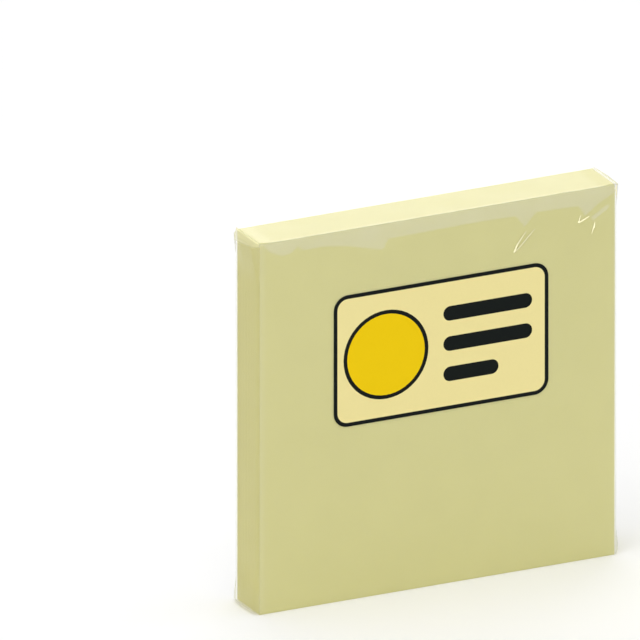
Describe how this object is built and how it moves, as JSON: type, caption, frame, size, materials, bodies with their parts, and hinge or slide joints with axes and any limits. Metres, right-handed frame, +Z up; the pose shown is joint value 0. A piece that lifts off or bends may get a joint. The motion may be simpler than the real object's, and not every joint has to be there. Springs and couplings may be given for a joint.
{
  "type": "sticky note pad",
  "caption": "Square pad of pale yellow self-stick notes with a release backing sheet, sealed in loose clear film and standing on its lower edge.",
  "frame": {"origin": "middle of the base, on the surface that the pad stands on", "axes": "+X along the width, +Y from the front note to the backing sheet, +Z up towards the glued edge"},
  "size_m": [0.0788, 0.0106, 0.0764],
  "materials": {
    "note_paper": "uncoated pale yellow paper, matte",
    "backing_paper": "release-coated off-white paper, slight sheen",
    "clear_film": "clear glossy shrink film"
  },
  "bodies": {
    "root": {"note_block": "note_paper", "backing_sheet": "backing_paper", "film_wrap": "clear_film"}
  },
  "joints": []
}
